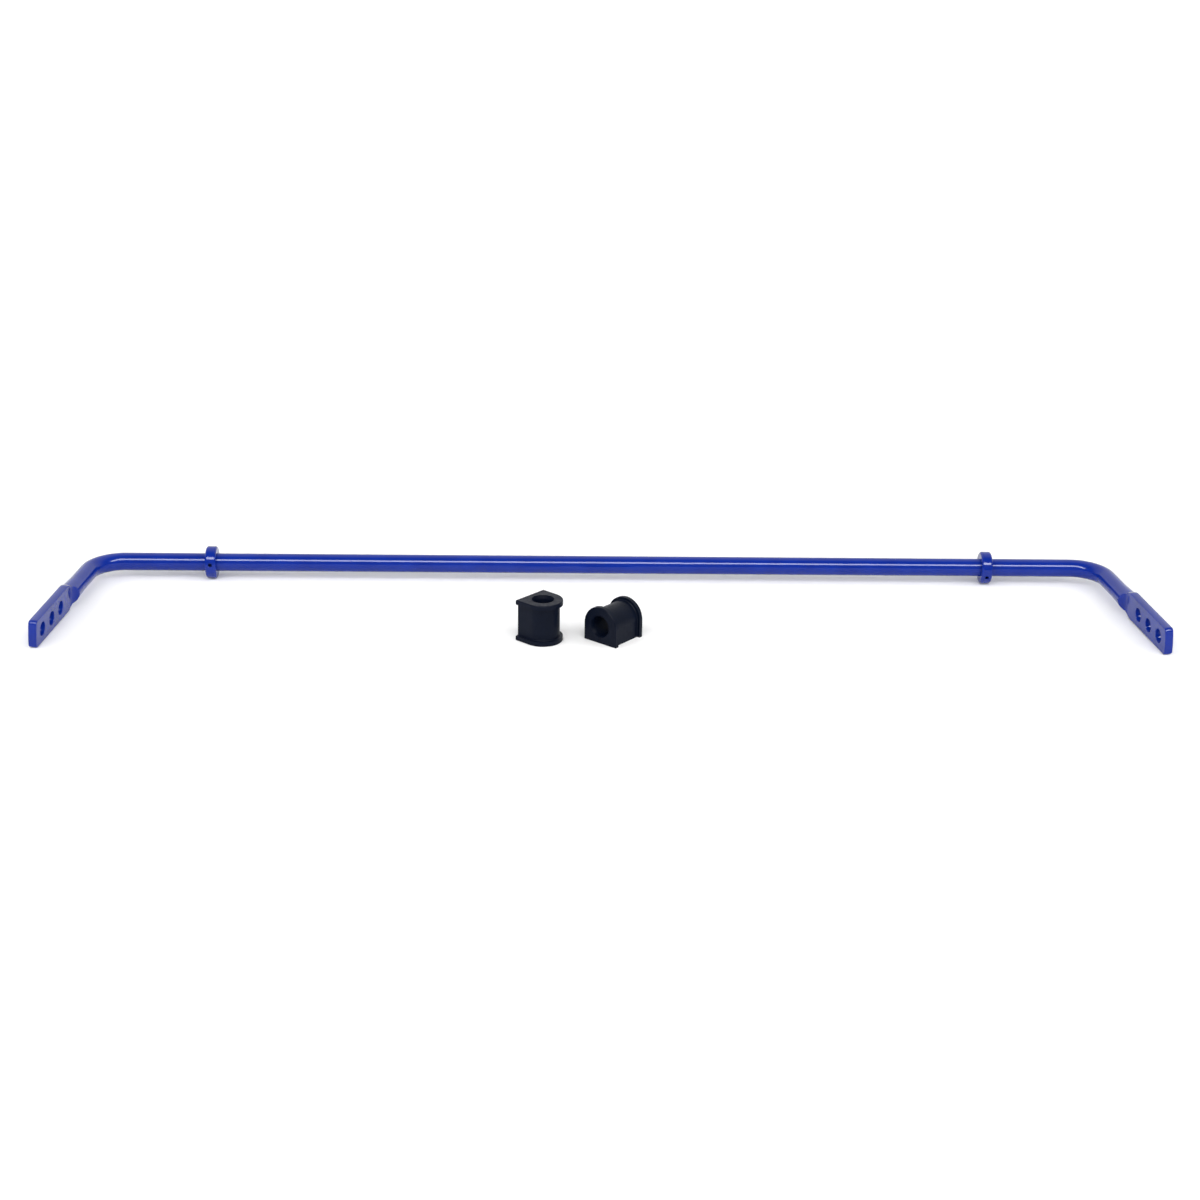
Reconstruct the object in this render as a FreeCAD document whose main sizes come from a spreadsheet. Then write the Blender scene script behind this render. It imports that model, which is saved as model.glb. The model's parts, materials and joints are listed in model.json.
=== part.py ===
import FreeCAD, Part
import math
import os
import Sketcher
from FreeCAD import Placement, Rotation, Vector

# Automotive sway bar with two locating collars and a pair of loose D bushes.
#
# Millimetres, +Z up. The part stands on Z = 0 with the origin under the middle of its box:
# +X along the straight part of the bar, arms towards -Y. The bar rests on its two collars
# and on the lower edges of its blades, so the arms drop by the rest tilt.

DIMENSIONS = (
    # the bar
    ("bar_diameter", 18.5),
    ("straight_length", 987.0),        # between the two bends
    ("bend_radius", 34.0),             # of the centre line
    ("arm_splay", 6.1),                # degrees, how far each arm leans outwards
    ("arm_length", 169.0),             # end of the bend to the blade's tip
    ("rest_tilt", 0.722),              # degrees, arms downwards
    ("bar_setback", 91.0),             # bar's axis behind the origin
    # the forged blades
    ("blade_height", 28.6),
    ("blade_thickness", 8.2),
    ("blade_twist", 4.2),              # degrees about the arm, lower edge outwards
    ("blade_length", 92.5),            # of full height, measured from the tip
    ("flat_length", 99.5),             # of the pressed flats, measured from the tip
    ("flat_run_out", 13.0),             # radius where a flat climbs to the round bar
    ("flare_length", 12.0),
    ("swell_length", 30.0),
    ("swell_diameter", 21.0),
    ("tip_bow_radius", 70.0),
    ("tip_corner_radius", 3.5),
    ("link_hole_diameter", 13.8),
    ("link_hole_margin", 18.2),        # tip to the nearest hole
    ("link_hole_pitch", 26.5),
    ("link_hole_count", 3),
    # the locating collars and their set screws
    ("collar_diameter", 33.5),
    ("collar_width", 11.2),
    ("collar_spacing", 809.6),
    ("collar_clearance", 0.05),        # radial, on the bar
    ("collar_edge_radius", 2.4),
    ("screw_diameter", 4.0),
    ("screw_length", 6.0),
    ("screw_clearance", 0.03),         # radial, in the collar
    ("screw_tip_gap", 0.1),            # screw's point to the bar
    ("screw_socket_flats", 2.0),
    ("screw_socket_depth", 2.4),
    ("screw_edge", 0.3),
    ("left_screw_rise", 8.0),          # degrees above the horizontal
    ("right_screw_rise", -21.0),
    # the D bushes
    ("bush_length", 42.2),
    ("bush_width", 39.4),
    ("bush_height", 37.3),
    ("bush_flange_thickness", 4.8),
    ("bush_flange_overhang", 3.1),
    ("bush_bore", 19.2),
    ("bush_mouth", 22.2),              # diameter where the bore opens at the end faces
    ("bush_mouth_depth", 4.5),
    ("bush_slit", 0.4),
    ("bush_edge_radius", 1.0),
    ("left_bush_x", -59.4),
    ("left_bush_y", -74.6),
    ("left_bush_turn", 227.6),         # degrees about Z
    ("right_bush_x", 9.6),
    ("right_bush_y", -68.3),
    ("right_bush_turn", -40.7),
)

doc = FreeCAD.newDocument("sway_bar")
sheet = doc.addObject("Spreadsheet::Sheet", "dims")
for row, (alias, number) in enumerate(DIMENSIONS, start=1):
    sheet.set(f"A{row}", alias)
    sheet.set(f"B{row}", str(number))
    sheet.setAlias(f"B{row}", alias)
doc.recompute()
size = {alias: float(sheet.get(alias)) for alias, _ in DIMENSIONS}


# ---------------------------------------------------------------- sketch and feature helpers

def new_body(label):
    body = doc.addObject("PartDesign::Body", label)
    body.Label = label
    return body


def plane(body, role):
    return next(item for item in body.Origin.OriginFeatures if item.Role == role)


def new_sketch(body, name, role):
    sketch = body.newObject("Sketcher::SketchObject", name)
    sketch.AttachmentSupport = [(plane(body, role), "")]
    sketch.MapMode = "FlatFace"
    return sketch


def pin(sketch, kind, *where, to=None):
    """Add a constraint; `to` is the expression that holds its size."""
    if to is None:
        sketch.addConstraint(Sketcher.Constraint(kind, *where))
        return
    start = sketch.evalExpression(to)
    start = float(getattr(start, "Value", start))
    if kind == "Angle":
        start = math.radians(start)
    index = sketch.addConstraint(Sketcher.Constraint(kind, *where, start))
    sketch.setExpression(f"Constraints[{index}]", to)


def line(sketch, start, end):
    return sketch.addGeometry(Part.LineSegment(Vector(*start, 0), Vector(*end, 0)), False)


def arc(sketch, centre, radius, first_deg, last_deg):
    circle = Part.Circle(Vector(*centre, 0), Vector(0, 0, 1), radius)
    first, last = math.radians(first_deg), math.radians(last_deg)
    return sketch.addGeometry(Part.ArcOfCircle(circle, first, last), False)


def rectangle(sketch, left, right, low, high):
    """Four lines, counter-clockwise from the low one."""
    corners = [(left, low), (right, low), (right, high), (left, high)]
    sides = [line(sketch, corners[i], corners[(i + 1) % 4]) for i in range(4)]
    for i in range(4):
        pin(sketch, "Coincident", sides[i], 2, sides[(i + 1) % 4], 1)
        pin(sketch, "Horizontal" if i % 2 == 0 else "Vertical", sides[i])
    return sides


def circle_sketch(body, name, role, radius, centre_x=None):
    """One circle, on the sketch's own X axis at centre_x, or at its origin."""
    sketch = new_sketch(body, name, role)
    start_radius = float(sketch.evalExpression(radius))
    ring = sketch.addGeometry(Part.Circle(Vector(1, 0, 0), Vector(0, 0, 1), start_radius), False)
    if centre_x is None:
        pin(sketch, "Coincident", ring, 3, -1, 1)
    else:
        pin(sketch, "PointOnObject", ring, 3, -1)
        pin(sketch, "DistanceX", -1, 1, ring, 3, to=centre_x)
    pin(sketch, "Radius", ring, to=radius)
    return sketch


def feature(body, kind, name, profile=None, **settings):
    item = body.newObject(f"PartDesign::{kind}", name)
    if profile is not None:
        item.Profile = profile
    for key, setting in settings.items():
        setattr(item, key, setting)
    return item


def cut(body, name, profile, reach=None):
    """Pocket a sketch both ways through the solid, or along its normal over `reach`."""
    doc.recompute()
    before = body.Shape.Volume
    if reach is None:
        pocket = feature(body, "Pocket", name, profile, Type="ThroughAll", SideType="Symmetric")
    else:
        pocket = feature(body, "Pocket", name, profile, Type="Length", Reversed=True)
        pocket.setExpression("Length", reach)
    doc.recompute()
    if not pocket.Shape.Volume < before - 1e-3:
        raise RuntimeError(f"{name} cuts nothing")
    return pocket


def pick_edges(item, wanted):
    """Names of the edges of a feature's shape that `wanted` accepts."""
    doc.recompute()
    names = [f"Edge{i}" for i, edge in enumerate(item.Shape.Edges, start=1) if wanted(edge)]
    if not names:
        raise RuntimeError(f"no edges found on {item.Name}")
    return item, names


def dress(body, kind, name, base, size_name, size_rule):
    item = feature(body, kind, name, Base=base)
    item.setExpression(size_name, size_rule)
    return item


# ---------------------------------------------------------------- the bar

# Tip of the right arm in the bar's own plane, and the arm's frame there: its x runs back
# along the arm towards the bend.
SPLAY = "(dims.arm_splay * 1 deg)"
TWIST = "(dims.blade_twist * 1 deg)"
TIP_X = (f"(dims.straight_length / 2 + dims.bend_radius * cos{SPLAY}"
         f" + dims.arm_length * sin{SPLAY})")
TIP_Y = (f"(-dims.bend_radius + dims.bend_radius * sin{SPLAY}"
         f" - dims.arm_length * cos{SPLAY})")


def arm_sketch(body, name, role, twist="0 deg"):
    """A sketch in the arm's frame: plan view on XY_Plane, side view on XZ_Plane."""
    sketch = new_sketch(body, name, role)
    if role == "XY_Plane":
        tip, upright = f"vector({TIP_X}; {TIP_Y}; 0)", "vector(0; 0; 1)"
    else:
        tip, upright = f"vector({TIP_X}; 0; -1 * {TIP_Y})", "vector(0; 1; 0)"
    turn = f"rotation({upright}; 90 deg + {SPLAY})"
    roll = f"rotation(vector(1; 0; 0); -1 * {twist})"
    sketch.setExpression("AttachmentOffset", f"placement({tip}; {turn} * {roll})")
    doc.recompute()
    return sketch


def centre_line(body):
    """Right half of the bar's centre line: straight, bend, and the arm up to its blade."""
    sketch = new_sketch(body, "centre_line", "XY_Plane")
    half, bend, splay = size["straight_length"] / 2, size["bend_radius"], size["arm_splay"]
    lean = math.radians(splay)
    arm = size["arm_length"] - size["blade_length"] - size["flare_length"]
    turned = (half + bend * math.cos(lean), -bend + bend * math.sin(lean))
    end = (turned[0] + arm * math.sin(lean), turned[1] - arm * math.cos(lean))
    straight = line(sketch, (0, 0), (half, 0))
    curve = arc(sketch, (half, -bend), bend, splay, 90)
    leg = line(sketch, turned, end)
    pin(sketch, "Coincident", straight, 1, -1, 1)
    pin(sketch, "Horizontal", straight)
    pin(sketch, "Distance", straight, to="dims.straight_length / 2")
    pin(sketch, "Tangent", straight, 2, curve, 2)
    pin(sketch, "Tangent", curve, 1, leg, 1)
    pin(sketch, "Radius", curve, to="dims.bend_radius")
    pin(sketch, "Angle", leg, to="(dims.arm_splay - 90) * 1 deg")
    pin(sketch, "Distance", leg, to="dims.arm_length - dims.blade_length - dims.flare_length")
    return sketch


def blade_profile(body):
    """Half outline of the upset end: bowed tip, blade, flare and the swell into the rod."""
    sketch = arm_sketch(body, "blade_profile", "XY_Plane")
    high, rod = size["blade_height"] / 2, size["bar_diameter"] / 2
    swell = size["swell_diameter"] / 2
    corner, bow = size["tip_corner_radius"], size["tip_bow_radius"]
    full = size["blade_length"]
    crease = full + size["flare_length"]
    back = crease + size["swell_length"]
    rise = high - swell
    flare_radius = (size["flare_length"] ** 2 + rise ** 2) / (2 * rise)
    flare_turn = math.degrees(math.asin(size["flare_length"] / flare_radius))
    bow_turn = math.degrees(math.asin((high - corner) / (bow - corner)))
    corner_x = bow - (bow - corner) * math.cos(math.radians(bow_turn))

    tip = arc(sketch, (bow, 0), bow, 180 - bow_turn, 180)
    nose = arc(sketch, (corner_x, high - corner), corner, 90, 180 - bow_turn)
    top = line(sketch, (corner_x, high), (full, high))
    flare = arc(sketch, (full, high - flare_radius), flare_radius, 90 - flare_turn, 90)
    taper = line(sketch, (crease, swell), (back, rod))
    end = line(sketch, (back, rod), (back, 0))
    axis = line(sketch, (back, 0), (0, 0))

    pin(sketch, "PointOnObject", tip, 3, -1)
    pin(sketch, "Coincident", tip, 2, -1, 1)
    pin(sketch, "Radius", tip, to="dims.tip_bow_radius")
    pin(sketch, "Tangent", tip, 1, nose, 2)
    pin(sketch, "Radius", nose, to="dims.tip_corner_radius")
    pin(sketch, "Tangent", nose, 1, top, 1)
    pin(sketch, "Horizontal", top)
    pin(sketch, "DistanceX", -1, 1, top, 2, to="dims.blade_length")
    pin(sketch, "DistanceY", -1, 1, top, 2, to="dims.blade_height / 2")
    pin(sketch, "Tangent", top, 2, flare, 2)
    pin(sketch, "Coincident", flare, 1, taper, 1)
    pin(sketch, "DistanceX", -1, 1, taper, 1, to="dims.blade_length + dims.flare_length")
    pin(sketch, "DistanceY", -1, 1, taper, 1, to="dims.swell_diameter / 2")
    pin(sketch, "Coincident", taper, 2, end, 1)
    pin(sketch, "DistanceX", taper, 1, taper, 2, to="dims.swell_length")
    pin(sketch, "DistanceY", -1, 1, taper, 2, to="dims.bar_diameter / 2")
    pin(sketch, "Vertical", end)
    pin(sketch, "Coincident", end, 2, axis, 1)
    pin(sketch, "PointOnObject", end, 2, -1)
    pin(sketch, "Coincident", axis, 2, -1, 1)
    return sketch


def flats_profile(body):
    """What the press leaves out on both sides of the blade, in plan."""
    sketch = arm_sketch(body, "flats_profile", "XY_Plane", TWIST)
    half, run_out, flat = size["blade_thickness"] / 2, size["flat_run_out"], size["flat_length"]
    reach = size["blade_height"]
    for side in (1, -1):
        first, last = (270, 360) if side > 0 else (0, 90)
        face = line(sketch, (-reach, side * half), (flat, side * half))
        climb = arc(sketch, (flat, side * (half + run_out)), run_out, first, last)
        back = line(sketch, (flat + run_out, side * (half + run_out)), (flat + run_out, side * reach))
        outer = line(sketch, (flat + run_out, side * reach), (-reach, side * reach))
        front = line(sketch, (-reach, side * reach), (-reach, side * half))
        low_end, high_end = (1, 2) if side > 0 else (2, 1)
        pin(sketch, "Horizontal", face)
        pin(sketch, "Tangent", face, 2, climb, low_end)
        pin(sketch, "Tangent", climb, high_end, back, 1)
        pin(sketch, "Vertical", back)
        pin(sketch, "Coincident", back, 2, outer, 1)
        pin(sketch, "Horizontal", outer)
        pin(sketch, "Coincident", outer, 2, front, 1)
        pin(sketch, "Vertical", front)
        pin(sketch, "Coincident", front, 2, face, 1)
        pin(sketch, "Radius", climb, to="dims.flat_run_out")
        pin(sketch, "DistanceX", -1, 1, face, 2, to="dims.flat_length")
        pin(sketch, "DistanceY", -1, 1, face, 2, to=f"{side} * dims.blade_thickness / 2")
        pin(sketch, "DistanceX", -1, 1, outer, 2, to="-dims.blade_height")
        pin(sketch, "DistanceY", -1, 1, outer, 2, to=f"{side} * dims.blade_height")
    return sketch


def make_bar():
    body = new_body("sway_bar")
    path = centre_line(body)
    section = circle_sketch(body, "rod_section", "YZ_Plane", "dims.bar_diameter / 2")
    feature(body, "AdditivePipe", "rod", section, Spine=(path, ["Edge1", "Edge2", "Edge3"]))
    profile = blade_profile(body)
    feature(body, "Revolution", "blade_blank", profile,
            ReferenceAxis=(profile, ["H_Axis"]), Angle=360)
    cut(body, "pressed_flats", flats_profile(body))

    hole = arm_sketch(body, "link_hole_profile", "XZ_Plane", TWIST)
    ring = hole.addGeometry(Part.Circle(Vector(), Vector(0, 0, 1), 1), False)
    pin(hole, "PointOnObject", ring, 3, -1)
    pin(hole, "DistanceX", -1, 1, ring, 3, to="dims.link_hole_margin")
    pin(hole, "Radius", ring, to="dims.link_hole_diameter / 2")
    first_hole = cut(body, "link_hole", hole)
    row = feature(body, "LinearPattern", "link_holes", Originals=[first_hole],
                  Direction=(hole, ["H_Axis"]), Mode="Spacing")
    row.setExpression("Offset", "dims.link_hole_pitch")
    row.setExpression("Occurrences", "dims.link_hole_count")
    body.Tip = row
    doc.recompute()

    whole = feature(body, "Mirrored", "both_ends", TransformMode="Whole shape",
                    MirrorPlane=(plane(body, "YZ_Plane"), [""]))
    body.Tip = whole
    tilt = Rotation(Vector(1, 0, 0), size["rest_tilt"])
    body.Placement = Placement(Vector(0, size["bar_setback"], size["collar_diameter"] / 2), tilt)
    return body


# ---------------------------------------------------------------- the locating collars

def make_collar(label, side, rise):
    """Ring on the bar with one radial hole, which points forwards and up by `rise` degrees."""
    body = new_body(label)
    sketch = new_sketch(body, "ring_profile", "XY_Plane")
    inner = size["bar_diameter"] / 2 + size["collar_clearance"]
    outer, half = size["collar_diameter"] / 2, size["collar_width"] / 2
    sides = rectangle(sketch, -half, half, inner, outer)
    pin(sketch, "DistanceX", -1, 1, sides[0], 2, to="dims.collar_width / 2")
    pin(sketch, "DistanceX", sides[0], 1, sides[0], 2, to="dims.collar_width")
    pin(sketch, "DistanceY", -1, 1, sides[0], 1, to="dims.bar_diameter / 2 + dims.collar_clearance")
    pin(sketch, "DistanceY", -1, 1, sides[2], 1, to="dims.collar_diameter / 2")
    ring = feature(body, "Revolution", "ring", sketch, ReferenceAxis=(sketch, ["H_Axis"]), Angle=360)

    def is_rim(edge):
        return edge.Closed and abs(edge.Curve.Radius - outer) < 1e-6

    rim = pick_edges(ring, is_rim)
    dress(body, "Fillet", "rounded_rim", rim, "Radius", "dims.collar_edge_radius")

    hole = circle_sketch(body, "screw_hole_profile", "XY_Plane",
                         "dims.screw_diameter / 2 + dims.screw_clearance")
    cut(body, "screw_hole", hole, reach="dims.collar_diameter")
    body.Placement = collar_place(side, rise)
    return body


def collar_place(side, rise):
    """Turns a collar's own +Z to the front, up by `rise`, and puts it on the bar."""
    centre = Vector(side * size["collar_spacing"] / 2, size["bar_setback"],
                    size["collar_diameter"] / 2)
    return Placement(centre, Rotation(Vector(1, 0, 0), 90 - rise))


def make_screw(label, side, rise):
    """Socket set screw in its collar, its point just off the bar."""
    shank = doc.addObject("Part::Cylinder", f"{label}_shank")
    shank.setExpression("Radius", "dims.screw_diameter / 2")
    shank.setExpression("Height", "dims.screw_length")
    doc.recompute()
    eased = doc.addObject("Part::Chamfer", f"{label}_eased")
    eased.Base = shank
    ends = [i for i, edge in enumerate(shank.Shape.Edges, start=1) if edge.Closed]
    eased.Edges = [(i, size["screw_edge"], size["screw_edge"]) for i in ends]
    socket = doc.addObject("Part::Prism", f"{label}_socket")
    socket.Polygon = 6
    socket.setExpression("Circumradius", "dims.screw_socket_flats / sqrt(3)")
    socket.setExpression("Height", "dims.screw_socket_depth * 2")
    socket.setExpression("Placement.Base.z", "dims.screw_length - dims.screw_socket_depth")
    screw = doc.addObject("Part::Cut", label)
    screw.Label = label
    screw.Base = eased
    screw.Tool = socket
    point = size["bar_diameter"] / 2 + size["screw_tip_gap"]
    screw.Placement = collar_place(side, rise) * Placement(Vector(0, 0, point), Rotation())
    return screw


# ---------------------------------------------------------------- the D bushes

def d_outline(body, name, inset):
    """Flat side at -Y, round side at +Y, the bore's axis at the origin."""
    sketch = new_sketch(body, name, "XY_Plane")
    radius_rule = f"dims.bush_width / 2 - {inset}"
    flat_rule = "dims.bush_width / 2 - dims.bush_height"
    radius = float(sketch.evalExpression(radius_rule))
    flat = float(sketch.evalExpression(flat_rule))
    crown = arc(sketch, (0, 0), radius, 0, 180)
    left = line(sketch, (-radius, 0), (-radius, flat))
    base = line(sketch, (-radius, flat), (radius, flat))
    right = line(sketch, (radius, flat), (radius, 0))
    pin(sketch, "Coincident", crown, 3, -1, 1)
    pin(sketch, "Radius", crown, to=radius_rule)
    pin(sketch, "Tangent", crown, 2, left, 1)
    pin(sketch, "Coincident", left, 2, base, 1)
    pin(sketch, "Coincident", base, 2, right, 1)
    pin(sketch, "Tangent", right, 2, crown, 1)
    pin(sketch, "Vertical", left)
    pin(sketch, "Vertical", right)
    pin(sketch, "Horizontal", base)
    pin(sketch, "DistanceY", -1, 1, base, 1, to=flat_rule)
    return sketch


def slit_outline(body):
    """Narrow strip from the bore out through the flat side."""
    sketch = new_sketch(body, "slit_profile", "XY_Plane")
    half = size["bush_slit"] / 2
    sides = rectangle(sketch, -half, half, -size["bush_height"], 0)
    pin(sketch, "PointOnObject", sides[2], 1, -1)
    pin(sketch, "DistanceX", -1, 1, sides[0], 2, to="dims.bush_slit / 2")
    pin(sketch, "DistanceX", sides[0], 1, sides[0], 2, to="dims.bush_slit")
    pin(sketch, "DistanceY", -1, 1, sides[0], 1, to="-dims.bush_height")
    return sketch


def make_bush(label, centre, rotation):
    """Flanged D bush, its length along its own Z and centred on its middle."""
    body = new_body(label)
    half_length = size["bush_length"] / 2
    waist = half_length - size["bush_flange_thickness"]
    bore = size["bush_bore"] / 2
    on_flat = size["bush_width"] / 2 - size["bush_height"]

    core = feature(body, "Pad", "core", d_outline(body, "core_profile", "dims.bush_flange_overhang"),
                   SideType="Symmetric")
    core.setExpression("Length", "dims.bush_length")
    rim = d_outline(body, "flange_profile", "0")
    rim.setExpression("AttachmentOffset.Base.z", "dims.bush_length / 2 - dims.bush_flange_thickness")
    flange = feature(body, "Pad", "flange", rim)
    flange.setExpression("Length", "dims.bush_flange_thickness")
    pair = feature(body, "Mirrored", "flange_pair", Originals=[flange],
                   MirrorPlane=(plane(body, "XY_Plane"), [""]))
    body.Tip = pair
    hole = cut(body, "bore",
               circle_sketch(body, "bore_profile", "XY_Plane", "dims.bush_bore / 2"))

    def is_bore_mouth(edge):
        return edge.Closed and abs(edge.Curve.Radius - bore) < 1e-6

    mouths = dress(body, "Chamfer", "bore_mouths", pick_edges(hole, is_bore_mouth),
                   "Size", "(dims.bush_mouth - dims.bush_bore) / 2")
    mouths.ChamferType = "Two distances"
    mouths.setExpression("Size2", "dims.bush_mouth_depth")
    doc.recompute()

    def is_rim(edge):
        middle = edge.CenterOfMass
        outside = not edge.Closed and middle.y > on_flat - 1e-6
        level = edge.BoundBox.ZLength < 1e-6
        return outside and level and abs(abs(middle.z) - half_length) < 1e-6

    rims = dress(body, "Fillet", "rounded_rims", pick_edges(mouths, is_rim),
                 "Radius", "dims.bush_edge_radius")

    def is_root(edge):
        box = edge.BoundBox
        level = box.ZLength < 1e-6 and abs(abs(box.ZMin) - waist) < 1e-6
        inside = max(abs(box.XMin), abs(box.XMax)) < size["bush_width"] / 2 - 1e-3
        return level and inside and box.YMax > on_flat + 1e-3

    dress(body, "Fillet", "rounded_roots", pick_edges(rims, is_root),
          "Radius", "dims.bush_edge_radius")
    cut(body, "slit", slit_outline(body))
    body.Placement = Placement(centre, rotation)
    return body


def bush_places():
    """The left bush stands on its end, the right one lies on its flat side."""
    up, across = Vector(0, 0, 1), Vector(1, 0, 0)
    standing = Vector(size["left_bush_x"], size["left_bush_y"], size["bush_length"] / 2)
    lying = Vector(size["right_bush_x"], size["right_bush_y"],
                   size["bush_height"] - size["bush_width"] / 2)
    yield "bush_left", standing, Rotation(up, size["left_bush_turn"])
    yield "bush_right", lying, Rotation(up, size["right_bush_turn"]) * Rotation(across, 90)


# ---------------------------------------------------------------- build, check and write

nodes = [make_bar()]
for name, side in (("left", -1), ("right", 1)):
    rise = size[f"{name}_screw_rise"]
    nodes.append(make_collar(f"collar_{name}", side, rise))
    nodes.append(make_screw(f"set_screw_{name}", side, rise))
for label, centre, rotation in bush_places():
    nodes.append(make_bush(label, centre, rotation))
doc.recompute()

for item in doc.Objects:
    if "Invalid" in item.State or "Error" in item.State:
        raise RuntimeError(f"{item.Name} failed: {item.State}")
for node in nodes:
    shape = node.Shape
    if shape.isNull() or not shape.isValid() or len(shape.Solids) != 1:
        raise RuntimeError(f"{node.Label} isn't one valid solid")

os.makedirs("parts", exist_ok=True)
for node in nodes:
    node.Shape.exportStep(f"parts/{node.Label}.step")
    box = node.Shape.BoundBox
    print(f"{node.Label}: {node.Shape.Volume / 1000:.2f} cm3, "
          f"X {box.XMin:.2f}..{box.XMax:.2f}, Y {box.YMin:.2f}..{box.YMax:.2f}, "
          f"Z {box.ZMin:.2f}..{box.ZMax:.2f}")
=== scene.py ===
"""Studio scene of a sway bar set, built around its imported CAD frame."""
import json
import math

import bmesh
import bpy
from mathutils import Matrix, Vector


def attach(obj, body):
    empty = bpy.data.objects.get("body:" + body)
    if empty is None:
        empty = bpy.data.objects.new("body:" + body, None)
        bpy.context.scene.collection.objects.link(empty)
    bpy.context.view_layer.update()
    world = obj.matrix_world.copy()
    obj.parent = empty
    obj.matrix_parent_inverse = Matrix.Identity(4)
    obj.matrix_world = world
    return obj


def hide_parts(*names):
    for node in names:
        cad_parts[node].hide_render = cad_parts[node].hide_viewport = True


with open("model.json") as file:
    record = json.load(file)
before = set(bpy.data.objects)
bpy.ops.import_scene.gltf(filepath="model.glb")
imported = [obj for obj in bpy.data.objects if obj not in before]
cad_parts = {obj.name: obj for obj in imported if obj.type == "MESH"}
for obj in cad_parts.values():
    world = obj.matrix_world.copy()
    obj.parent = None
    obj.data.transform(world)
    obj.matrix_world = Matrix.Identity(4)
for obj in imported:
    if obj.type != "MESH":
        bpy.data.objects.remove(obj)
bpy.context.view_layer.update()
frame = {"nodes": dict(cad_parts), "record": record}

MM = 0.001
nodes = frame["nodes"]
mounts = {mount["name"]: mount for mount in frame["record"]["mounts"]}


# ---------------------------------------------------------------- where the bar lies

# The seats of the bushes give the bar's axis, and the link holes give the arm and its blade.
seat = mounts["bush_seat_right"]
ROD = seat["dims"]["r_mm"] * MM
first_hole = mounts["link_hole_right_1"]
hole_spots = [Vector(mounts[f"link_hole_right_{i}"]["pos_m"]) for i in (1, 2, 3)]
HOLE = first_hole["dims"]["r_mm"] * MM
THICK = first_hole["dims"]["length_mm"] / 2 * MM

BACK = (hole_spots[2] - hole_spots[0]).normalized()     # along the arm, tip to bend
BLADE_OUT = Vector(first_hole["axis"]).normalized()     # out of the blade's outer face
BLADE_UP = BACK.cross(BLADE_OUT)
ALONG = Vector((1, 0, 0))
PLANE_UP = ALONG.cross(BACK).normalized()               # square to the bent bar's own plane
if BLADE_UP.z < 0:
    BLADE_UP = -BLADE_UP

BEND_RADIUS = 34 * MM            # of the bar's centre line
HIGH = 14.3 * MM                 # half the blade's height
HOLE_MARGIN = 18.15 * MM         # tip to the first hole
BLADE = 92.5 * MM                # full height up to here, from the tip
CREASE = 104.5 * MM              # where the flare meets the swell
SWELL_END = 134.5 * MM           # plain round bar from here on
SWELL = 10.5 * MM                # radius of the swell at the crease
FLAT = 99.5 * MM                 # flats up to here, from the tip
RUN_OUT = 13 * MM                # radius where a flat climbs to the round bar
BOW = 70 * MM                    # radius of the bowed end face
BOW_FADE = 20 * MM               # this far from the tip the bow has faded out
CORNER = 3.5 * MM                # rounding of the tip's corners, in side view
EDGE = 0.9 * MM                  # rounding of the blade's long edges
MOUTH = 0.7 * MM                 # rounding of the link holes' mouths
COLLAR_EASE = 0.25 * MM          # extra easing of the collars' edges
BUSH_EASE = 0.35 * MM            # and of the bushes' edges
NORMAL_WEIGHT = 90               # how strongly large faces set the shading

tip = hole_spots[0] - BACK * HOLE_MARGIN
bar_middle = Vector((0, seat["pos_m"][1], seat["pos_m"][2]))
to_corner = (bar_middle.y - tip.y) / BACK.y      # along the arm to the straight bar's axis
BEND_ANGLE = BACK.angle(-ALONG)
cut_off = BEND_RADIUS * math.tan(BEND_ANGLE / 2)
ARM = to_corner - cut_off        # tip to where the bend starts


# ---------------------------------------------------------------- section of the bar

def section_angles():
    """Angles of one quadrant's points, close together where the blade's edge comes.

    The points on the flat are spaced by their rise in millimetres, the others in degrees.
    """
    flat_rises = (0, 0.45, 0.9, 1.35, 1.85, 2.4, 3, 3.7, 4.5, 5.4, 6.4, 7.5, 8.7, 9.9, 11, 11.8)
    edge_angles = (71.6, 72.2, 72.8, 73.4, 74.0, 74.7, 75.5, 76.5)
    crown_angles = (78.5, 81, 84, 87)
    thick = THICK / MM
    angles = [math.atan(rise / thick) for rise in flat_rises]
    return angles + [math.radians(angle) for angle in edge_angles + crown_angles]


QUADRANT = section_angles()
SECTION = (QUADRANT
           + [math.pi / 2]
           + [math.pi - angle for angle in reversed(QUADRANT)]
           + [math.pi + angle for angle in QUADRANT[1:]]
           + [1.5 * math.pi]
           + [2 * math.pi - angle for angle in reversed(QUADRANT[1:])])


def reach(angle, high, thick):
    """Centre to outline: a disc of radius `high` pressed to half `thick`, with eased edges."""
    if thick >= high:
        return high
    ease = min(EDGE, 0.5 * thick)
    inner_high, inner_thick = high - ease, thick - ease
    rise = math.sqrt(max(inner_high ** 2 - inner_thick ** 2, 0))
    across, upward = abs(math.cos(angle)), abs(math.sin(angle))
    if across * rise >= upward * thick:
        return thick / across
    if across * rise <= upward * inner_thick:
        return high
    middle = inner_thick * across + rise * upward
    return middle + math.sqrt(max(middle ** 2 - inner_high ** 2 + ease ** 2, 0))


def rounding(depth, radius):
    """How far a corner of `radius` has drawn in at `depth` below its face."""
    left = max(radius - depth, 0)
    return radius - math.sqrt(radius ** 2 - left ** 2)


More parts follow.
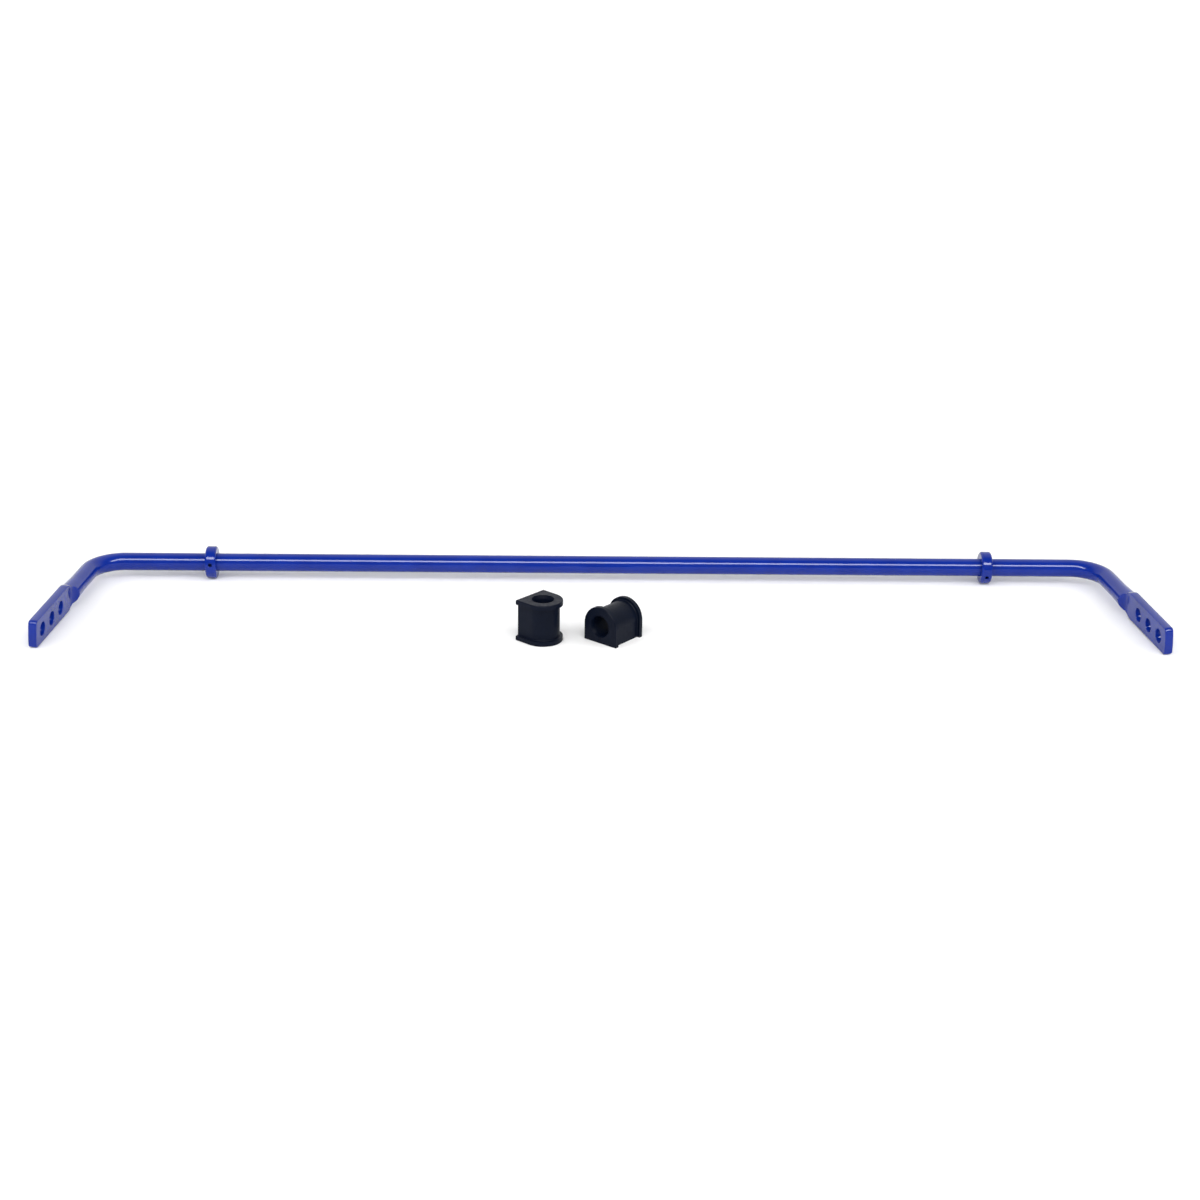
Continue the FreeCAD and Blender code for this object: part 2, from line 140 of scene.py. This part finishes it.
def half_height(from_tip):
    """Side view of the arm: blade, rounded flare, tapering swell, then the round bar."""
    if from_tip < BLADE:
        return HIGH - rounding(from_tip, CORNER)
    if from_tip < CREASE:
        run, fall = CREASE - BLADE, HIGH - SWELL
        radius = (run ** 2 + fall ** 2) / (2 * fall)
        return HIGH - radius + math.sqrt(radius ** 2 - (from_tip - BLADE) ** 2)
    if from_tip < SWELL_END:
        share = (from_tip - CREASE) / (SWELL_END - CREASE)
        return SWELL + (ROD - SWELL) * share
    return ROD


def half_thickness(from_tip):
    """Centre to flat; past the run-out it is wider than the bar, so no flat is left."""
    climb = from_tip - FLAT
    if climb <= 0:
        return THICK - rounding(from_tip, EDGE)
    if climb < RUN_OUT:
        return THICK + RUN_OUT - math.sqrt(RUN_OUT ** 2 - climb ** 2)
    return 2 * HIGH


def outline(from_tip):
    """Radii of the section at every angle of SECTION."""
    high, thick = half_height(from_tip), half_thickness(from_tip)
    return [reach(angle, high, thick) for angle in SECTION]


def soft_outline(from_tip, spread=0.7 * MM, taps=13):
    """The outline averaged along the bar over two spreads each way, to round the shoulder."""
    total, weights = [0.0] * len(SECTION), 0.0
    for tap in range(taps):
        offset = (tap / (taps - 1) - 0.5) * 4 * spread
        weight = math.exp(-0.5 * (offset / spread) ** 2)
        weights += weight
        for i, radius in enumerate(outline(from_tip + offset)):
            total[i] += weight * radius
    return [value / weights for value in total]


# ---------------------------------------------------------------- the bar's mesh

def ring_points(centre, out, up, radii):
    """One ring of the skin around `centre`, in the plane of `out` and `up`."""
    return [centre + out * (radius * math.cos(angle)) + up * (radius * math.sin(angle))
            for radius, angle in zip(radii, SECTION)]


def blade_ring(from_tip, radii):
    """A ring of the blade; near the tip it is bowed like the end face."""
    bowed = max(0, 1 - from_tip / BOW_FADE)
    points = ring_points(tip + BACK * from_tip, BLADE_OUT, BLADE_UP, radii)
    rises = [radius * math.sin(angle) for radius, angle in zip(radii, SECTION)]
    return [point + BACK * (bowed * rise ** 2 / (2 * BOW)) for point, rise in zip(points, rises)]


def tip_to_middle():
    """Every ring of the right half, from the end face to the middle of the bar."""
    face = outline(0)
    for share in (0.08, 0.25, 0.45, 0.65, 0.82, 0.93):
        yield blade_ring(0, [radius * share for radius in face])
    # Places of the blade's rings, in millimetres from the tip.
    corner_depths = (0, 0.02, 0.07, 0.15, 0.27, 0.42, 0.6, 0.85, 1.2, 1.6, 2.1, 2.7, 3.3, 4, 5.5)
    blade_depths = (8, 12, 16, 20, 28, 36, 44, 52, 60, 68, 76, 84, 90)
    for depth in corner_depths + blade_depths:
        yield blade_ring(depth * MM, outline(depth * MM))
    shoulder_step = 0.35 * MM
    from_tip = BLADE
    while from_tip < FLAT + RUN_OUT:
        yield blade_ring(from_tip, soft_outline(from_tip))
        from_tip += shoulder_step
    shoulder_end = from_tip
    for share in (0, 0.33, 0.66, 1):
        from_tip = shoulder_end + (SWELL_END - shoulder_end) * share
        lean = BLADE_UP.lerp(PLANE_UP, share).normalized()
        radii = [half_height(from_tip)] * len(SECTION)
        yield ring_points(tip + BACK * from_tip, BACK.cross(lean), lean, radii)
    round_bar = [ROD] * len(SECTION)
    inward = PLANE_UP.cross(BACK)
    bend_start = tip + BACK * ARM
    pivot = bend_start + (inward if inward.x < 0 else -inward) * BEND_RADIUS
    bend_steps = 32
    for step in range(bend_steps + 1):
        swing = Matrix.Rotation(BEND_ANGLE * step / bend_steps, 3, PLANE_UP)
        out = swing @ (bend_start - pivot).normalized()
        yield ring_points(pivot + out * BEND_RADIUS, out, PLANE_UP, round_bar)
    yield ring_points(bar_middle, out, PLANE_UP, round_bar)


def bar_mesh():
    """Both halves of the bar as one closed skin."""
    rings = [list(points) for points in tip_to_middle()]
    count = len(SECTION)
    mesh = bmesh.new()
    for side in (1, -1):
        centre = mesh.verts.new((side * tip.x, tip.y, tip.z))
        loops = [[mesh.verts.new((side * p.x, p.y, p.z)) for p in points] for points in rings]
        for i in range(count):
            follow = (i + 1) % count
            mesh.faces.new((centre, loops[0][i], loops[0][follow]))
            for near, far in zip(loops, loops[1:]):
                mesh.faces.new((near[i], far[i], far[follow], near[follow]))
    bmesh.ops.remove_doubles(mesh, verts=mesh.verts, dist=1e-7)
    bmesh.ops.recalc_face_normals(mesh, faces=mesh.faces)
    return mesh


def hole_cutter():
    """All six link holes as one solid: plain bores that open out at the blade's faces."""
    overshoot = 2 * MM               # past the blade's faces
    proud = 0.01 * MM                # keeps the mouth's edge off the face itself
    mouth_steps = 6
    segments = 64
    profile = [(-THICK - overshoot, HOLE + MOUTH)]
    for step in range(mouth_steps + 1):
        swing = 0.5 * math.pi * step / mouth_steps
        profile.append((-THICK + MOUTH * (1 - math.cos(swing)) - proud,
                        HOLE + MOUTH * (1 - math.sin(swing))))
    profile += [(-height, radius) for height, radius in reversed(profile)]
    mesh = bmesh.new()
    for side in (1, -1):
        for spot in hole_spots:
            loops = []
            for height, radius in profile:
                loop = []
                for i in range(segments):
                    angle = 2 * math.pi * i / segments
                    point = (spot + BLADE_OUT * height + BACK * (radius * math.cos(angle))
                             + BLADE_UP * (radius * math.sin(angle)))
                    loop.append(mesh.verts.new((side * point.x, point.y, point.z)))
                loops.append(loop)
            for near, far in zip(loops, loops[1:]):
                for i in range(segments):
                    follow = (i + 1) % segments
                    mesh.faces.new((near[i], far[i], far[follow], near[follow]))
            mesh.faces.new(loops[0])
            mesh.faces.new(loops[-1])
    bmesh.ops.recalc_face_normals(mesh, faces=mesh.faces)
    return mesh


def new_object(name, mesh):
    """An object in the scene that takes over a bmesh."""
    data = bpy.data.meshes.new(name)
    mesh.to_mesh(data)
    mesh.free()
    obj = bpy.data.objects.new(name, data)
    bpy.context.scene.collection.objects.link(obj)
    return obj


def build_bar():
    """The forged bar: its skin with the link holes cut through, smooth shaded."""
    bar = new_object("forged_bar", bar_mesh())
    cutter = new_object("hole_cutter", hole_cutter())
    boolean = bar.modifiers.new("holes", "BOOLEAN")
    boolean.object = cutter
    boolean.operation = "DIFFERENCE"
    boolean.solver = "EXACT"
    view = bpy.context.evaluated_depsgraph_get()
    cut = bpy.data.meshes.new_from_object(bar.evaluated_get(view))
    bar.modifiers.clear()
    bar.data = cut
    bpy.data.objects.remove(cutter)
    bar.data.shade_smooth()
    normals = bar.modifiers.new("even_normals", "WEIGHTED_NORMAL")
    normals.weight = NORMAL_WEIGHT
    return bar


bar = build_bar()


# ---------------------------------------------------------------- materials

class Nodes:
    """A material's node tree, with short ways to add to it; texture scales are per metre."""

    def __init__(self, name):
        self.material = bpy.data.materials.new(name)
        self.material.use_nodes = True
        self.tree = self.material.node_tree
        self.shader = self.tree.nodes["Principled BSDF"]
        self.place = self.tree.nodes.new("ShaderNodeTexCoord").outputs["Object"]

    def set(self, **values):
        for name, value in values.items():
            self.shader.inputs[name.replace("_", " ")].default_value = value

    def link(self, source, target):
        self.tree.links.new(source, target)

    def noise(self, scale, detail=2.0, rough=0.5):
        node = self.tree.nodes.new("ShaderNodeTexNoise")
        node.inputs["Scale"].default_value = scale
        node.inputs["Detail"].default_value = detail
        node.inputs["Roughness"].default_value = rough
        self.link(self.place, node.inputs["Vector"])
        return node.outputs["Fac"]

    def cells(self, scale):
        node = self.tree.nodes.new("ShaderNodeTexVoronoi")
        node.inputs["Scale"].default_value = scale
        self.link(self.place, node.inputs["Vector"])
        return node.outputs["Distance"]

    def band(self, source, low, high, to_low, to_high):
        """The stretch low..high of a source, spread over to_low..to_high."""
        node = self.tree.nodes.new("ShaderNodeMapRange")
        for name, value in (("From Min", low), ("From Max", high),
                            ("To Min", to_low), ("To Max", to_high)):
            node.inputs[name].default_value = value
        self.link(source, node.inputs["Value"])
        return node.outputs["Result"]

    def blend(self, share, first, second):
        """A colour between two, each of them a plain colour or another node's output."""
        node = self.tree.nodes.new("ShaderNodeMix")
        node.data_type = "RGBA"
        factor, colour_a, colour_b = node.inputs[0], node.inputs[6], node.inputs[7]
        colour_out = node.outputs[2]
        for socket, value in ((colour_a, first), (colour_b, second)):
            if isinstance(value, tuple):
                socket.default_value = (*value, 1)
            else:
                self.link(value, socket)
        self.link(share, factor)
        return colour_out

    def bump(self, height, strength, distance, under=None):
        node = self.tree.nodes.new("ShaderNodeBump")
        node.inputs["Strength"].default_value = strength
        node.inputs["Distance"].default_value = distance
        self.link(height, node.inputs["Height"])
        if under is not None:
            self.link(under, node.inputs["Normal"])
        return node.outputs["Normal"]


def powder_coat(name):
    """Glossy blue powder coat: orange peel, a few nibs, and faint clouds in the colour."""
    look = Nodes(name)
    look.set(IOR=1.5, Specular_IOR_Level=0.27)
    deep_blue, bright_blue = (0.0020, 0.0150, 0.186), (0.0028, 0.0185, 0.212)
    nib_blue = (0.008, 0.03, 0.30)
    clouds = look.band(look.noise(38, detail=3), 0.35, 0.65, 0, 1)
    colour = look.blend(clouds, deep_blue, bright_blue)
    nibs = look.band(look.cells(210), 0.03, 0.10, 1, 0)
    speckled = look.blend(nibs, colour, nib_blue)
    look.link(speckled, look.shader.inputs["Base Color"])
    look.link(look.band(look.noise(900), 0.3, 0.7, 0.08, 0.13), look.shader.inputs["Roughness"])
    peel = look.bump(look.noise(420, detail=1.5), 0.03, 0.0002)
    raised = look.bump(nibs, 0.06, 0.0001, under=peel)
    look.link(raised, look.shader.inputs["Normal"])
    return look.material


def black_oxide(name):
    """Blue-black oxide on the set screws' steel, mottled and finely grained."""
    look = Nodes(name)
    look.set(Metallic=1.0)
    tone = look.band(look.noise(1400, detail=3), 0.3, 0.7, 0, 1)
    dark_steel, pale_steel = (0.005, 0.010, 0.060), (0.010, 0.018, 0.095)
    colour = look.blend(tone, dark_steel, pale_steel)
    look.link(colour, look.shader.inputs["Base Color"])
    look.link(look.band(look.noise(2500), 0.3, 0.7, 0.30, 0.48), look.shader.inputs["Roughness"])
    look.link(look.bump(look.noise(3500, detail=2), 0.12, 0.00005), look.shader.inputs["Normal"])
    return look.material


def polyurethane(name):
    """Satin black cast polyurethane: fine moulded grain, flow clouds, faint dust."""
    look = Nodes(name)
    look.set(IOR=1.5, Specular_IOR_Level=0.09)
    dark_resin, pale_resin = (0.0007, 0.0022, 0.0075), (0.0015, 0.0034, 0.0105)
    dust_grey = (0.006, 0.008, 0.014)
    flow = look.band(look.noise(55, detail=4, rough=0.6), 0.3, 0.7, 0, 1)
    colour = look.blend(flow, dark_resin, pale_resin)
    dust = look.band(look.cells(520), 0.02, 0.07, 1, 0)
    dusted = look.blend(dust, colour, dust_grey)
    look.link(dusted, look.shader.inputs["Base Color"])
    look.link(look.band(look.noise(320, detail=3), 0.3, 0.7, 0.34, 0.50),
              look.shader.inputs["Roughness"])
    grain = look.bump(look.noise(1600, detail=2), 0.12, 0.00012)
    swirl = look.bump(look.noise(120, detail=1), 0.10, 0.0006, under=grain)
    look.link(swirl, look.shader.inputs["Normal"])
    return look.material


def dress(obj, material):
    """Gives an object one material in place of those it had."""
    obj.data.materials.clear()
    obj.data.materials.append(material)


def ease_edges(obj, width):
    """Rounds a CAD node's sharp edges with modifiers; its mesh stays as it is."""
    weld = obj.modifiers.new("weld", "WELD")
    weld.merge_threshold = 1e-6
    bevel = obj.modifiers.new("eased_edges", "BEVEL")
    bevel.width = width
    bevel.segments = 2
    bevel.limit_method = "ANGLE"
    bevel.angle_limit = math.radians(40)
    normals = obj.modifiers.new("even_normals", "WEIGHTED_NORMAL")
    normals.weight = NORMAL_WEIGHT


dress(bar, powder_coat("bar_powder_coat"))
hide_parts("sway_bar")
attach(bar, "bar")

collar_coat = powder_coat("collar_powder_coat")
screw_steel = black_oxide("black_oxide_steel")
bush_black = polyurethane("cast_polyurethane")
for side in ("left", "right"):
    dress(nodes[f"collar_{side}"], collar_coat)
    ease_edges(nodes[f"collar_{side}"], COLLAR_EASE)
    dress(nodes[f"set_screw_{side}"], screw_steel)
    dress(nodes[f"bush_{side}"], bush_black)
    ease_edges(nodes[f"bush_{side}"], BUSH_EASE)


# ---------------------------------------------------------------- studio

def studio_floor():
    """A plain pale sheet, wide enough to fill the photograph's own view."""
    half_side = 30                   # metres
    mesh = bmesh.new()
    bmesh.ops.create_grid(mesh, x_segments=1, y_segments=1, size=half_side)
    floor = new_object("studio_floor", mesh)
    look = Nodes("studio_paper")
    look.set(Roughness=0.9, Specular_IOR_Level=0.1)
    shade = look.band(look.noise(2), 0.3, 0.7, 0, 1)
    look.link(look.blend(shade, (0.90, 0.90, 0.90), (0.92, 0.92, 0.92)),
              look.shader.inputs["Base Color"])
    dress(floor, look.material)


def studio_world():
    """Shows in reflections and past the floor's edge, but gives no diffuse light.

    It is brightest behind the object and dim in front.
    """
    dim, bright = 0.12, 1.25
    world = bpy.data.worlds.new("studio")
    world.use_nodes = True
    bpy.context.scene.world = world
    world.cycles_visibility.diffuse = False
    tree = world.node_tree
    background = tree.nodes["Background"]
    direction = tree.nodes.new("ShaderNodeTexCoord")
    parts = tree.nodes.new("ShaderNodeSeparateXYZ")
    rise = tree.nodes.new("ShaderNodeMapRange")
    rise.interpolation_type = "SMOOTHSTEP"
    for name, value in (("From Min", -0.1), ("From Max", 0.45),
                        ("To Min", dim), ("To Max", bright)):
        rise.inputs[name].default_value = value
    tree.links.new(direction.outputs["Generated"], parts.inputs["Vector"])
    tree.links.new(parts.outputs["Y"], rise.inputs["Value"])
    tree.links.new(rise.outputs["Result"], background.inputs["Strength"])
    background.inputs["Color"].default_value = (1, 1, 1, 1)


def soft_box(name, place, target, width, depth, power):
    """A light for the highlights alone; the daylight does the lighting."""
    light = bpy.data.lights.new(name, "AREA")
    light.shape = "RECTANGLE"
    light.size = width
    light.size_y = depth
    light.energy = power
    obj = bpy.data.objects.new(name, light)
    obj.location = place
    obj.rotation_euler = (Vector(place) - Vector(target)).to_track_quat("Z", "Y").to_euler()
    obj.visible_diffuse = False
    bpy.context.scene.collection.objects.link(obj)


def daylight(name, turn, rise, spread, strength):
    """Wide soft light without highlights.

    It comes from `turn` degrees to the right of the front and `rise` degrees above the floor,
    and its source is `spread` degrees wide.
    """
    light = bpy.data.lights.new(name, "SUN")
    light.angle = math.radians(spread)
    light.energy = strength
    lean = math.cos(math.radians(rise))
    towards = Vector((lean * math.sin(math.radians(turn)), -lean * math.cos(math.radians(turn)),
                      math.sin(math.radians(rise))))
    obj = bpy.data.objects.new(name, light)
    obj.rotation_euler = towards.to_track_quat("Z", "Y").to_euler()
    obj.visible_glossy = False
    bpy.context.scene.collection.objects.link(obj)


def studio_camera():
    """At the photograph's viewing angle, fitted to it: from the front, a little left, and above."""
    place = Vector((-0.05398, -1.92655, 0.76363))
    lens, sensor = 61.59, 36                         # millimetres
    yaw, pitch, roll = 0.0269, 0.3716, 0.0165        # radians: right, down, anticlockwise
    forward = Vector((math.sin(yaw) * math.cos(pitch), math.cos(yaw) * math.cos(pitch),
                      -math.sin(pitch)))
    level = Vector((math.cos(yaw), -math.sin(yaw), 0))
    upward = level.cross(forward)
    right = level * math.cos(roll) + upward * math.sin(roll)
    top = upward * math.cos(roll) - level * math.sin(roll)
    data = bpy.data.cameras.new("studio_camera")
    data.lens = lens
    data.sensor_width = sensor
    data.clip_end = 200              # metres, past the floor's far edge
    camera = bpy.data.objects.new("studio_camera", data)
    turned = Matrix((right, top, -forward)).transposed().to_4x4()
    camera.matrix_world = Matrix.Translation(place) @ turned
    bpy.context.scene.collection.objects.link(camera)
    bpy.context.scene.camera = camera


studio_floor()
studio_world()
strip_place = bar_middle + Vector((0, -1.7, 1.83))
soft_box("front_strip", strip_place, bar_middle, width=3.6, depth=0.7, power=150)
daylight("window", turn=0, rise=38, spread=60, strength=2.8)
daylight("left_fill", turn=-72, rise=27, spread=60, strength=2.0)
daylight("right_fill", turn=72, rise=27, spread=60, strength=2.0)
daylight("back_fill", turn=180, rise=50, spread=90, strength=1.0)
studio_camera()
bpy.context.scene.view_settings.view_transform = "Standard"
